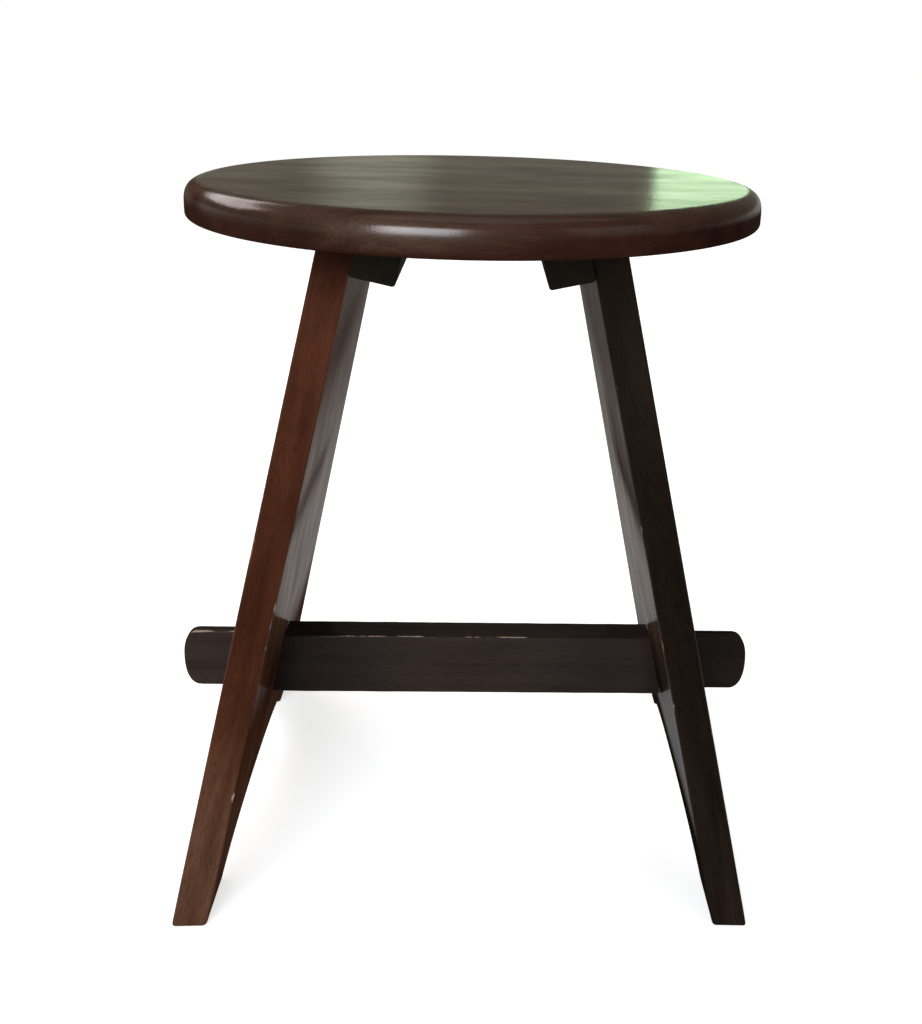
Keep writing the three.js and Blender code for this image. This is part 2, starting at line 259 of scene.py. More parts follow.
def varnished_hardwood(name, finish, stain, turn, offset, coat, blur, figuring):
    """Dark red-brown hardwood under old brushed varnish: straight open grain, a soft gloss and pale arrises.

    The pattern's X axis is turned along the grain of the piece. Four attributes of the mesh steer it, in the
    order of MARKS: the first is highest on the arrises, where the varnish is worn, and on a few arrises it
    is a pale line painted as a glint; the second is the share of the pale tone, for stain that has paled and
    for painted sheen and reflection; the third is how much the place is darkened and dulled, partly as
    painted shade; and the fourth is the share of the full coat.
    """
    material, node = bare_material(name)
    # The pale tone also stands for painted sheen and reflection, and the worn colour also for painted
    # glints.
    stained, faded, worn = (list(getattr(finish, key)) for key in (stain, "faded_stain", "worn_wood"))
    rubbing_and_glint, bleach_and_sheen, darkened_share, varnish = (
        node("ShaderNodeAttribute", output="Fac", attribute_name=key) for key in MARKS
    )
    coords = node("ShaderNodeTexCoord", output="Object")
    turned = node(MAPPING, {"Vector": coords, "Rotation": turn})
    grain = node(MAPPING, {"Vector": turned, "Location": offset})

    def along_grain(kind, size, inputs, output=0):
        """Pattern that is drawn at its real size along the grain and across it."""
        along, across = size
        stretched = node(MAPPING, {"Vector": grain, "Scale": (1 / along, 1 / across, 1 / across)})
        return node(kind, {"Vector": stretched, "Scale": 1.0, **inputs}, output)

    def swung(swing):
        """Lowest and highest shade of a pattern, about 1."""
        return (1 + share * figuring for share in swing)

    def layered(heights, weights):
        """Height of several layers, each times its weight."""
        total = 0.0
        for height, weight in zip(heights, weights):
            total = node(MATHS, (height, weight, total), operation="MULTIPLY_ADD")
        return total

    figure = along_grain(NOISE, FIGURE, {"Detail": 4.0, "Roughness": 0.55, "Distortion": 0.5})
    fibres = along_grain(NOISE, FIBRES, {"Detail": 3.0, "Roughness": 0.6})
    pores = node(RANGE, (along_grain(NOISE, PORES, {"Detail": 1.0}), *PORE_SPAN))
    clouds = along_grain(NOISE, CLOUDS, {"Detail": 2.0})
    patches = along_grain(NOISE, RUBBED_PATCHES, {"Detail": 4.0, "Roughness": 0.7})
    nicks = along_grain(CELLS, NICKS, {"Randomness": 1.0}, None)
    ripple = along_grain(NOISE, BRUSH_RIPPLE, {"Detail": 2.0})
    skin = along_grain(NOISE, VARNISH_SKIN, {"Detail": 1.0})

    bleach_and_sheen = node(MATHS, (bleach_and_sheen, node(RANGE, (figure, *MIDDLE_SPAN, *FADE_AND_SHEEN_SWING))), **TIMES)
    wood = node(MIX, {SHARE: bleach_and_sheen, FIRST: stained, SECOND: faded}, MIXED, data_type="RGBA")
    # Darkened and dulled where the mesh says so, which is partly painted shade.
    undarkened_share = node(MATHS, (1.0, darkened_share), **MINUS)
    shade = node(RANGE, (figure, *FIGURE_SPAN, *swung(FIGURE_SWING)))
    for factor in (
        node(RANGE, (fibres, *FIBRE_SPAN, *swung(FIBRE_SWING))),
        node(RANGE, (pores, 0.0, 1.0, 1.0, PORE_SHADE)),
        node(RANGE, (clouds, *MIDDLE_SPAN, *CLOUD_SHADES)),
        undarkened_share,
    ):
        shade = node(MATHS, (shade, factor), **TIMES)
    shaded = {SHARE: 1.0, FIRST: wood, SECOND: shade}
    wood = node(MIX, shaded, MIXED, data_type="RGBA", blend_type="MULTIPLY")

    # Bare places: rubbed arrises, nicks, and pale lines painted as glints on a few arrises.
    rubbed = node(RANGE, (node(MATHS, (rubbing_and_glint, patches), **TIMES), *RUBBED_SPAN))
    kept = node(RANGE, (node("ShaderNodeSeparateColor", (nicks["Color"],)), *NICKS_KEPT))
    nicked = node(MATHS, (node(RANGE, (nicks["Distance"], *NICK_SPAN)), kept), **TIMES)
    bare = node(MATHS, (rubbed, nicked), operation="MAXIMUM")
    share = node(RANGE, (bare, 0.0, 1.0, 0.0, BARE_COLOUR))
    wood = node(MIX, {SHARE: share, FIRST: wood, SECOND: worn}, MIXED, data_type="RGBA")

    height = layered((fibres, pores, bare), WOOD_HEIGHTS)
    film = layered((ripple, skin, height), FILM_HEIGHTS)
    relief, film = (
        node("ShaderNodeBump", {"Height": value, "Distance": deep, "Strength": 1.0})
        for value, deep in ((height, WOOD_RELIEF), (film, FILM_RELIEF))
    )
    gloss = node(RANGE, (clouds, *MIDDLE_SPAN, *(coat * part for part in CLOUD_GLOSS)))
    for factor in (node(RANGE, (bare, 0.0, 1.0, 1.0, BARE_GLOSS)), undarkened_share, varnish):
        gloss = node(MATHS, (gloss, factor), **TIMES)
    surface = node(
        "ShaderNodeBsdfPrincipled",
        {
            "Base Color": wood,
            "Roughness": WOOD_ROUGHNESS,
            "Specular IOR Level": 0.0,
            "Normal": relief,
            "Coat Weight": gloss,
            "Coat Roughness": blur,
            "Coat IOR": VARNISH_IOR,
            "Coat Normal": film,
        },
    )
    node("ShaderNodeOutputMaterial", {"Surface": surface})
    return material


def turned_steel(name, finish):
    """Old turned steel wood screws, dulled by age: grey, with cloudy tarnish and a soft shine."""
    material, node = bare_material(name)
    coords = node("ShaderNodeTexCoord", output="Object")
    tarnish = node(NOISE, {"Vector": coords, "Scale": 1 / TARNISH, "Detail": 3.0})
    surface = node(
        "ShaderNodeBsdfPrincipled",
        {
            "Base Color": list(finish.screw_steel),
            "Metallic": 1.0,
            "Roughness": node(RANGE, (tarnish, *TARNISH_SPAN, *STEEL_ROUGHNESS)),
            "Normal": node("ShaderNodeBump", {"Height": tarnish, "Distance": STEEL_RELIEF}),
        },
    )
    node("ShaderNodeOutputMaterial", {"Surface": surface})
    return material


# Shapes in mesh code

TINY = 1e-12
SAME_POINT = 1e-7
UNEVEN_REACH = 35 * MM
ARRIS_WEAR = 0.5
# The loop just inside an arris, and how worn it is there
INSIDE_ARRIS, INSIDE_WEAR = 2.5 * MM, 0.15
SHARP_ANGLE = math.radians(40)


def unit(vector):
    """Vector of the same direction and length 1."""
    return vector / np.linalg.norm(vector)


def rounded_outline(corners, radii, steps, spans):
    """Closed outline with its corners rounded.

    Each span is the number of pieces of the straight after a corner, or the points of a curve after it.
    """
    count = len(corners)
    arcs = []
    for i in range(count):
        corner = np.array(corners[i], float)
        before = spans[i - 1][-1] if not isinstance(spans[i - 1], int) else corners[i - 1]
        after = spans[i][0] if not isinstance(spans[i], int) else corners[(i + 1) % count]
        back = unit(np.array(before, float) - corner)
        ahead = unit(np.array(after, float) - corner)
        half = math.acos(max(-1.0, min(1.0, float(back @ ahead)))) / 2
        centre = corner + unit(back + ahead) * radii[i] / math.sin(half)
        first = corner + back * radii[i] / math.tan(half) - centre
        last = corner + ahead * radii[i] / math.tan(half) - centre
        sweep = math.atan2(first[0] * last[1] - first[1] * last[0], first @ last)
        arc = []
        for k in range(steps + 1):
            turn = sweep * k / steps
            c, s = math.cos(turn), math.sin(turn)
            arc.append(centre + np.array([c * first[0] - s * first[1], s * first[0] + c * first[1]]))
        arcs.append(arc)
    points = []
    for i in range(count):
        points += arcs[i]
        if isinstance(spans[i], int):
            start, end = arcs[i][-1], arcs[(i + 1) % count][0]
            points += [start + (end - start) * k / spans[i] for k in range(1, spans[i])]
        else:
            points += [np.array(p, float) for p in spans[i]]
    return np.array(points)


def outward(points):
    """Normals of a closed outline that runs anticlockwise."""
    along = np.roll(points, -1, axis=0) - np.roll(points, 1, axis=0)
    across = np.stack([along[:, 1], -along[:, 0]], axis=1)
    return across / np.linalg.norm(across, axis=1)[:, None]


def uneven(points, seed, swing):
    """Slow hand-made variation along an outline, about 1."""
    places = [Vector((p[0] / UNEVEN_REACH, p[1] / UNEVEN_REACH, seed)) for p in points]
    return np.array([1 + swing * noise.noise(place) for place in places])


def within(points, ring):
    """For each 2-D point, whether it lies inside a closed ring."""
    inside = np.zeros(len(points), bool)
    for a, b in zip(ring, np.roll(ring, -1, axis=0)):
        crosses = (a[1] > points[:, 1]) != (b[1] > points[:, 1])
        rise = b[1] - a[1] if abs(b[1] - a[1]) > TINY else TINY
        inside ^= crosses & (points[:, 0] < (b[0] - a[0]) * (points[:, 1] - a[1]) / rise + a[0])
    return inside


def between(points, rings):
    """For each 2-D point, whether it lies inside the first ring and outside the others."""
    inside = within(points, rings[0])
    for hole in rings[1:]:
        inside &= ~within(points, hole)
    return inside


def grid_inside(rings, spacing, margin):
    """Points of a grid inside the first ring and outside the others, clear of all of them by a margin."""
    low, high = rings[0].min(axis=0), rings[0].max(axis=0)
    xs = np.arange(low[0] + spacing / 2, high[0], spacing)
    ys = np.arange(low[1] + spacing / 2, high[1], spacing)
    grid = np.array([(x, y) for x in xs for y in ys])
    edge = np.vstack(rings)
    distance = np.sqrt(((grid[:, None, :] - edge[None, :, :]) ** 2).sum(axis=2)).min(axis=1)
    return grid[between(grid, rings) & (distance > margin)]


def cap(bm, ring, holes, spacing, margin):
    """Fills a flat ring of vertices, leaving its holes open, with even triangles."""
    middle = sum((v.co for v in ring), Vector()) / len(ring)
    normal = Vector()
    for a, b in zip(ring, ring[1:] + ring[:1]):
        normal += (a.co - middle).cross(b.co - middle)
    normal.normalize()
    side = (Vector((0, 1, 0)) if abs(normal.y) < 0.9 else Vector((1, 0, 0))).cross(normal).normalized()
    up = normal.cross(side)

    def flat(vertices):
        return np.array([((v.co - middle).dot(side), (v.co - middle).dot(up)) for v in vertices])

    rings = [flat(ring)] + [flat(hole) for hole in holes]
    known = list(ring) + [v for hole in holes for v in hole]
    edges, start = [], 0
    for loop in rings:
        edges += [(start + k, start + (k + 1) % len(loop)) for k in range(len(loop))]
        start += len(loop)
    inner = grid_inside(rings, spacing, margin)
    places = np.vstack([*rings, inner])
    known += [bm.verts.new(middle + side * p[0] + up * p[1]) for p in inner]
    points = [Vector(p) for p in places]
    _, _, faces, origin, _, _ = geometry.delaunay_2d_cdt(points, edges, [], 0, SAME_POINT)
    faces = [[origin[k][0] for k in face] for face in faces]
    centres = np.array([places[face].mean(axis=0) for face in faces])
    for face, kept in zip(faces, between(centres, rings)):
        if kept:
            bm.faces.new([known[k] for k in face])


def tube(bm, rows):
    """Walls between rows of vertices, one after another."""
    for low, high in zip(rows, rows[1:]):
        count = len(low)
        for k in range(count):
            bm.faces.new((low[k], low[(k + 1) % count], high[(k + 1) % count], high[k]))


def shell(loops, wear, spacing, margin, holes=()):
    """Closed mesh through loops of points, with flat ends. Each hole is a pair of loops, one on each end."""
    bm = bmesh.new()
    rubbed = bm.verts.layers.float.new("wear")
    rows = []
    for loop, amount in zip(loops, wear):
        row = [bm.verts.new(p) for p in loop]
        for vertex in row:
            vertex[rubbed] = amount
        rows.append(row)
    bored = [[[bm.verts.new(p) for p in loop] for loop in pair] for pair in holes]
    for walls in (rows, *bored):
        tube(bm, walls)
    cap(bm, rows[0], [pair[0] for pair in bored], spacing, margin)
    cap(bm, rows[-1], [pair[1] for pair in bored], spacing, margin)
    bmesh.ops.recalc_face_normals(bm, faces=bm.faces)
    return bm


def board_loops(near, far, thickness, radii, steps, place):
    """Loops of a board between two outlines, with both its rims rounded, and how worn each loop is.

    Near is the outline at depth 0, and far the one at the board's thickness. Place turns a point and its
    depth to 3-D.
    """
    normals = outward((near + far) / 2)
    half = []
    for k in range(steps + 1):
        turn = math.pi / 2 * k / steps
        wear = ARRIS_WEAR + (1 - ARRIS_WEAR) * math.sin(2 * turn)
        half.append((radii * (1 - math.cos(turn)), radii * (1 - math.sin(turn)), wear))
    half += [(radii + INSIDE_ARRIS, radii * 0, INSIDE_WEAR), (radii * 0 + thickness / 2, radii * 0, 0.0)]
    whole = half + [(thickness - depth, inset, wear) for depth, inset, wear in reversed(half[:-1])]
    loops = []
    for depth, inset, _ in whole:
        share = (depth / thickness)[:, None]
        flat = near + (far - near) * share - normals * inset[:, None]
        loops.append([place(p, d) for p, d in zip(flat, depth)])
    return loops, [wear for _, _, wear in whole]


def mesh_object(name, bm):
    """Object with the mesh that was built."""
    mesh = bpy.data.meshes.new(name)
    bm.to_mesh(mesh)
    bm.free()
    made = bpy.data.objects.new(name, mesh)
    bpy.context.scene.collection.objects.link(made)
    return made


def paint(made, **rules):
    """Keeps numbers at each point of a mesh, each worked out from its place and the number it had."""
    points = made.data.vertices
    for key, rule in rules.items():
        layer = made.data.attributes.get(key) or made.data.attributes.new(key, "FLOAT", "POINT")
        known = [item.value for item in layer.data]
        layer.data.foreach_set("value", [rule(vertex.co, was) for vertex, was in zip(points, known)])


def ramp(value, low, high):
    """Smooth rise from 0 at low to 1 at high."""
    share = max(0.0, min(1.0, (value - low) / (high - low)))
    return share * share * (3 - 2 * share)


def spot(value, middle, reach):
    """Soft spot, 1 in the middle."""
    return math.exp(-(((value - middle) / reach) ** 2))


def baked_mesh(made):
    """Replaces an object's mesh by its evaluated one, and removes its modifiers."""
    depsgraph = bpy.context.evaluated_depsgraph_get()
    mesh = bpy.data.meshes.new_from_object(made.evaluated_get(depsgraph), depsgraph=depsgraph)
    old = made.data
    made.modifiers.clear()
    made.data = mesh
    bpy.data.meshes.remove(old)
    mesh.name = made.name


def cut_or_join(made, tool, operation):
    """Cuts one closed mesh from another, or joins the two, and removes the second."""
    step = made.modifiers.new(operation, "BOOLEAN")
    step.operation = operation
    step.solver = "MANIFOLD"
    step.object = tool
    baked_mesh(made)
    bpy.data.objects.remove(tool)


def finish_piece(made, material, slot, *nodes):
    """Shades a wooden piece, gives it its finish and lets it stand for its CAD nodes."""
    mesh = made.data
    mesh.materials.clear()
    mesh.materials.append(material)
    mesh.shade_smooth()
    mesh.set_sharp_from_angle(angle=SHARP_ANGLE)
    step = made.modifiers.new("Weighted normals", "WEIGHTED_NORMAL")
    step.keep_sharp = True
    baked_mesh(made)
    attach(made, "root")
    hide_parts(*nodes)


# Geometry Nodes

WELD = 0.01 * MM


def new_tree(name, sockets):
    """Tree with its named inputs and one output, what adds nodes to it, and what its inputs give."""
    tree = bpy.data.node_groups.new(name, "GeometryNodeTree")
    for key, kind in {**sockets, "Material": "Material"}.items():
        tree.interface.new_socket(name=key, in_out="INPUT", socket_type=f"NodeSocket{kind}")
    tree.interface.new_socket(name="Geometry", in_out="OUTPUT", socket_type="NodeSocketGeometry")
    return tree, partial(add, tree), add(tree, "NodeGroupInput", output=None)


def wound_grid(node, rows, sides):
    """Flat grid to wind about Z, with each point's row, its share of a turn and its angle."""
    around = node(MATHS, (sides, 1.0), operation="ADD")
    grid = node("GeometryNodeMeshGrid", {"Vertices X": rows, "Vertices Y": around}, "Mesh")
    index = node("GeometryNodeInputIndex")
    row = node(MATHS, (node(MATHS, (index, around), **OVER),), operation="FLOOR")
    column = node(MATHS, (index, around), operation="FLOORED_MODULO")
    share = node(MATHS, (column, sides), **OVER)
    return grid, row, share, node(MATHS, (share, math.tau), **TIMES)


def welded(node, grid, position):
    """Grid moved into its place, with its seam and poles closed."""
    moved = node("GeometryNodeSetPosition", {"Geometry": grid, "Position": position})
    return node("GeometryNodeMergeByDistance", {"Geometry": moved, "Distance": WELD})


def end_tree(node, shape, given):
    """Ends a tree with real geometry in its material."""
    real = node("GeometryNodeRealizeInstances", (shape,))
    painted = node("GeometryNodeSetMaterial", {"Geometry": real, "Material": given["Material"]})
    node("NodeGroupOutput", (painted,))


def run_tree(made, tree, values):
    """Runs a tree on an object, with its named inputs set by their identifiers, and keeps a plain mesh."""
    step = made.modifiers.new(tree.name, "NODES")
    step.node_group = tree
    for item in tree.interface.items_tree:
        if item.item_type == "SOCKET" and item.in_out == "INPUT" and item.name in values:
            step[item.identifier] = values[item.name]
    baked_mesh(made)


# Seat

# The seat isn't a true circle: its left side, a little towards the back, is flatter.
FLAT_TOWARD = math.radians(168)
FLAT_REACH = math.radians(34)
SEAT_SIDES = 256
SEAT_RINGS = (0.0, 40 * MM, 90 * MM, 130 * MM, 155 * MM)
INSIDE_LOWER_ROUND, INSIDE_ROUND_OVER = 3 * MM, 2.5 * MM
LOWER_STEPS, UPPER_STEPS = 6, 28
# The rim is widest this far above its lower round, and this power bends it over to the top. With 1 it would
# be a quarter of an ellipse.
WIDEST_RISE = 1.5 * MM
RIM_POWER = 0.5

# Marks on the seat. A pair is a span over which a mark comes up. A place and a reach are those of a soft
# spot.
LOWER_EDGE_WEAR = 0.8
# The top is paler towards the left.
TOP_PALER, TOP_PALER_LEFTWARDS = 0.1, (0.05, 0.16)
# A painted sheen, in the pale tone, on the front of the rim below its highlight.
RIM_SHEEN, RIM_SHEEN_PLACE, RIM_SHEEN_REACH, RIM_SHEEN_UPWARDS = 0.27, -0.04, 0.035, (-2 * MM, 3 * MM)
RIM_GLOSS_START, RIM_GLOSS_FULL, RIM_GLOSS_ENDS = -14 * MM, -1 * MM, (-4 * MM, -1 * MM)
FRONT_POLISH, FRONT_POLISH_PLACE, FRONT_POLISH_REACH = 1.7, -0.03, 0.05
LEFT_POLISH, LEFT_POLISH_LEFTWARDS = 0.4, (0.08, 0.11)
DULL_END, DULL_BACKWARDS, DULL_ENDS, DULL_LEFTWARDS = 0.85, (-0.11, -0.09), (0.0, 0.03), (0.1, 0.13)
EDGE_GLOSS, TOP_GLOSS_UPWARDS = 0.04, (-3 * MM, 1 * MM)
# The rim below its round-over is darker all round, and more at its right end, where the extra is painted
# shade.
RIM_DARKENING, RIGHT_RIM_SHADE, RIGHT_RIM_SHADE_RIGHTWARDS = 0.3, 0.15, (0.07, 0.12)


def turning_tree():
    """Geometry Nodes that turn a profile, given as the host's points, about Z."""
    sockets = {"Profile": "Geometry", "Profile points": "Int", "Sides": "Int"}
    tree, node, given = new_tree("Turned board", sockets)
    grid, row, _, turn = wound_grid(node, given["Profile points"], given["Sides"])
    position = node("GeometryNodeInputPosition")
    profile = {"Geometry": given["Profile"], "Value": position, "Index": row}
    point = node("GeometryNodeSampleIndex", profile, data_type="FLOAT_VECTOR", domain="POINT")
    swung = node("ShaderNodeVectorRotate", {"Vector": point, "Angle": turn}, rotation_type="Z_AXIS")
    end_tree(node, welded(node, grid, swung), given)
    return tree


def seat_profile(m):
    """Points of radius against height, from the middle of the underside round the rim to that of the top.

    The rim is widest a little above its lower round, and from there bends over to the top in one curve.
    """
    radius, low, top = m.seat_diameter / 2, m.seat_underside, m.seat_top
    points = [(r, low) for r in SEAT_RINGS]
    points.append((radius - m.seat_lower_round - INSIDE_LOWER_ROUND, low))
    for k in range(LOWER_STEPS + 1):
        turn = -math.pi / 2 * (1 - k / LOWER_STEPS)
        x = radius - m.seat_lower_round + m.seat_lower_round * math.cos(turn)
        points.append((x, low + m.seat_lower_round * (1 + math.sin(turn))))
    widest = low + m.seat_lower_round + WIDEST_RISE
    for k in range(UPPER_STEPS + 1):
        turn = math.pi / 2 * k / UPPER_STEPS
        x = radius - m.seat_round_width * (1 - math.cos(turn))
        points.append((x, widest + (top - widest) * math.sin(turn) ** RIM_POWER))
    points.append((radius - m.seat_round_width - INSIDE_ROUND_OVER, top))
    points += [(r, top) for r in reversed(SEAT_RINGS)]
    return points


def flatten_side(made, m):
    """Makes one side of the seat fall short of the round."""
    radius = m.seat_diameter / 2
    for vertex in made.data.vertices:
        off = math.remainder(math.atan2(vertex.co.y, vertex.co.x) - FLAT_TOWARD, math.tau)
        outer = ramp(math.hypot(vertex.co.x, vertex.co.y), 0.5 * radius, radius)
        vertex.co.xy *= 1 - m.seat_flat * spot(off, 0.0, FLAT_REACH) * outer / radius


class STOOL_OT_seat(bpy.types.Operator):
    """Turn the round seat from its profile"""

    bl_idname = "stool.seat"
    bl_label = "Make Seat"

    def execute(self, context):
        m = Measures(context.scene.stool_sizes)
        material = varnished_hardwood(
            "Varnished hardwood, seat",
            context.scene.stool_finish,
            "seat_stain",
            turn=(0, 0, 0),
            offset=(0.31, 0.12, 0.05),
            **SEAT_VARNISH,
        )
        profile = seat_profile(m)
        bm = bmesh.new()
        for x, z in profile:
            bm.verts.new((x, 0, z))
        made = mesh_object("seat_board", bm)
        values = {"Profile points": len(profile), "Sides": SEAT_SIDES, "Material": material}
        run_tree(made, turning_tree(), values)
        bm = bmesh.new()
        bm.from_mesh(made.data)
        bmesh.ops.recalc_face_normals(bm, faces=bm.faces)
        bm.to_mesh(made.data)
        bm.free()
        flatten_side(made, m)
        edge = m.seat_diameter / 2 - 2 * m.seat_lower_round
        low, shoulder = m.seat_underside + m.seat_lower_round, m.seat_top - m.seat_round_height

        def wear(p, was):
            return LOWER_EDGE_WEAR if p.z < low and math.hypot(p.x, p.y) > edge else 0.0

        # Paler towards the left on the top, and a painted sheen on the front of the rim below its highlight.
        def faded(p, was):
            top = ramp(p.z, shoulder, m.seat_top)
            rim_sheen = spot(p.x, RIM_SHEEN_PLACE, RIM_SHEEN_REACH) * ramp(p.z - low, *RIM_SHEEN_UPWARDS)
            top_paler = TOP_PALER * ramp(-p.x, *TOP_PALER_LEFTWARDS) * top
            return top_paler + (RIM_SHEEN * rim_sheen * (1 - top) if p.y < 0 else 0.0)

        def gloss(p, was):
            drop = p.z - m.seat_top
            rim = ramp(drop, RIM_GLOSS_START, RIM_GLOSS_FULL - m.seat_round_height)
            rim *= 1 - ramp(drop, *RIM_GLOSS_ENDS)
            polish = FRONT_POLISH * spot(p.x, FRONT_POLISH_PLACE, FRONT_POLISH_REACH)
            polish += LEFT_POLISH * ramp(-p.x, *LEFT_POLISH_LEFTWARDS)
            end = ramp(p.y, *DULL_BACKWARDS) * (1 - ramp(p.y, *DULL_ENDS)) * ramp(-p.x, *DULL_LEFTWARDS)
            bright = 1 - DULL_END * end * (1 - ramp(drop, -1 * MM, 0.0))
            top = EDGE_GLOSS + (1 - EDGE_GLOSS) * ramp(p.z - shoulder, *TOP_GLOSS_UPWARDS)
            return (top + rim * polish) * bright

        # Darker rim, with painted shade towards its right end.
        def grime(p, was):
            darkened_share = RIM_DARKENING + RIGHT_RIM_SHADE * ramp(p.x, *RIGHT_RIM_SHADE_RIGHTWARDS)
            return darkened_share * (1 - ramp(p.z, shoulder - 3 * MM, m.seat_top - 2 * MM))

        paint(made, wear=wear, faded=faded, gloss=gloss, grime=grime)
        finish_piece(made, material, "seat_wood", "seat")
        return {"FINISHED"}


# Legs

# Corners of a leg: those of its top, of its outer edges at the floor, and of its arch
TOP_CORNER, FOOT_CORNER, PAD_CORNER = 1.8 * MM, 3.4 * MM, 2.2 * MM
CORNER_STEPS, LEG_ARRIS_STEPS = 6, 5
TOP_PIECES, EDGE_PIECES, PAD_PIECES, ARCH_PIECES = 30, 90, 8, 56
ARCH_START = 5 * MM
MORTISE_CORNER, MORTISE_CORNER_STEPS, MORTISE_SPANS = 1 * MM, 3, (2, 12, 2, 12)
LEG_GRID, LEG_GRID_MARGIN = 9 * MM, 4 * MM
# The arrises of the feet are this much rounder than the rest, below these heights.
FOOT_ARRIS, FOOT_ARRIS_UPWARDS = 0.35, (5 * MM, 12 * MM)

# Darkened bands on the legs: the height of the middle of each, its reach up and down, and how strong it is.
# On the edges they are darker, and the highest on the left leg is painted shade under the seat. On the inner
# faces they are painted dark bands of reflection, where the varnish is also less glossy.
EDGE_DARK_BANDS = {
    "left": (
        (0.055, 0.03, 0.2),
        (0.135, 0.02, 0.2),
        (0.19, 0.042, 0.48),
        (0.262, 0.026, 0.24),
        (0.415, 0.02, 0.75),
    ),
    "right": ((0.0, 0.05, 0.1), (0.2, 0.09, 0.27)),
}
INNER_REFLECTION_BANDS = {
    "left": ((0.256, 0.012, 0.6), (0.348, 0.026, 0.5)),
    "right": ((0.262, 0.016, 0.75), (0.289, 0.02, 0.4), (0.345, 0.04, 0.3)),
}
MOST_DARKENING, INNER_BAND_DARKNESS, BANDS_FORWARDS = 0.9, 0.4, (-0.05, 0.02)

# The inner face, and the two broad faces, as shares of the plank's depth and of its arris
INNER_FACE, BROAD_FACES = 0.4, (0.42, 0.5)
# One place on the left leg's front inner arris is chipped; a length of it has a pale line painted as a
# glint.
CHIP_HEIGHT, CHIP_REACH, CHIP_WEAR = 0.086, 2.5 * MM, 1.9
LEG_GLINT_HEIGHTS, LEG_GLINT_WEAR = (0.165, 0.215), 1.16
# Above the rail the inner faces carry a painted reflection in the pale tone, and the left one is glossier.
# The limit falls towards the front.
ABOVE_RAIL, ABOVE_RAIL_FALL = (0.08, 0.15), 0.35
INNER_FLOOR_REFLECTION = 0.35
SCUFFED, SCUFFS_END = {"left": 0.26, "right": 0.03}, (0.04, 0.16)
FACE_GLOSS, RIGHT_FACE_UPWARDS = 0.92, (0.05, 0.08)
TOP_DULL, TOP_DULL_UPWARDS = 0.6, (0.2, 0.38)
LOW_EDGE_GLOSS, HIGH_EDGE_GLOSS, EDGE_GLOSS_UPWARDS = 0.1, 0.25, (0.28, 0.36)
# Painted shadow of the rail on the inner face, in the corner that the leg makes with the rail, drawn out on
# a slope
RAIL_SHADOW = {"left": 0.5, "right": 0.4}
CORNER_HEIGHT, CORNER_SLOPE, CORNER_FRONT, CORNER_REACH = 0.1, 0.8, 0.01, 0.03
CORNER_FORWARDS = (0.0, 0.03)


def leg_outline(m, depth):
    """Outline of a leg at a depth from its outer face: two pads, the arch between, and the level top."""
    bottom = depth * m.tan
    top = m.along_lean(m.seat_underside - m.fit_gap, depth)
    taper = (m.foot_width - m.leg_top_width) / 2 / m.along_lean(m.seat_underside, 0)
    half_low, half_top = (m.foot_width / 2 - taper * up for up in (bottom, top))
    half_arch = m.arch_span / 2
    start = half_arch * math.sqrt(1 - (bottom / m.arch_rise) ** 2)
    first = math.asin((bottom + ARCH_START) / m.arch_rise)
    turns = [math.pi - first - (math.pi - 2 * first) * k / ARCH_PIECES for k in range(ARCH_PIECES + 1)]
    arch = [(half_arch * math.cos(t), m.arch_rise * math.sin(t)) for t in turns]
    corners = [
        (half_top, top),
        (-half_top, top),
        (-half_low, bottom),
        (-start, bottom),
        (start, bottom),
        (half_low, bottom),
    ]
    radii = [TOP_CORNER, TOP_CORNER, FOOT_CORNER, PAD_CORNER, PAD_CORNER, FOOT_CORNER]
    spans = [TOP_PIECES, EDGE_PIECES, PAD_PIECES, arch, PAD_PIECES, EDGE_PIECES]
    return rounded_outline(corners, radii, CORNER_STEPS, spans)


def mortise_loop(m, depth, side):
    """Edge of the mortise on a face of a leg."""
    half_y = m.tenon_thickness / 2 + m.fit_gap
    half_z = m.tenon_height / 2 + m.fit_gap
    corners = [(-half_y, -half_z), (half_y, -half_z), (half_y, half_z), (-half_y, half_z)]
    flat = rounded_outline(corners, [MORTISE_CORNER] * 4, MORTISE_CORNER_STEPS, MORTISE_SPANS)
    return [m.on_leg(depth, y, m.along_lean(m.rail_middle + z, depth), side) for y, z in flat]


def darkening_at(places, height):
    """How strong the darkening is at this height."""
    return min(MOST_DARKENING, sum(amount * spot(height, middle, reach) for middle, reach, amount in places))


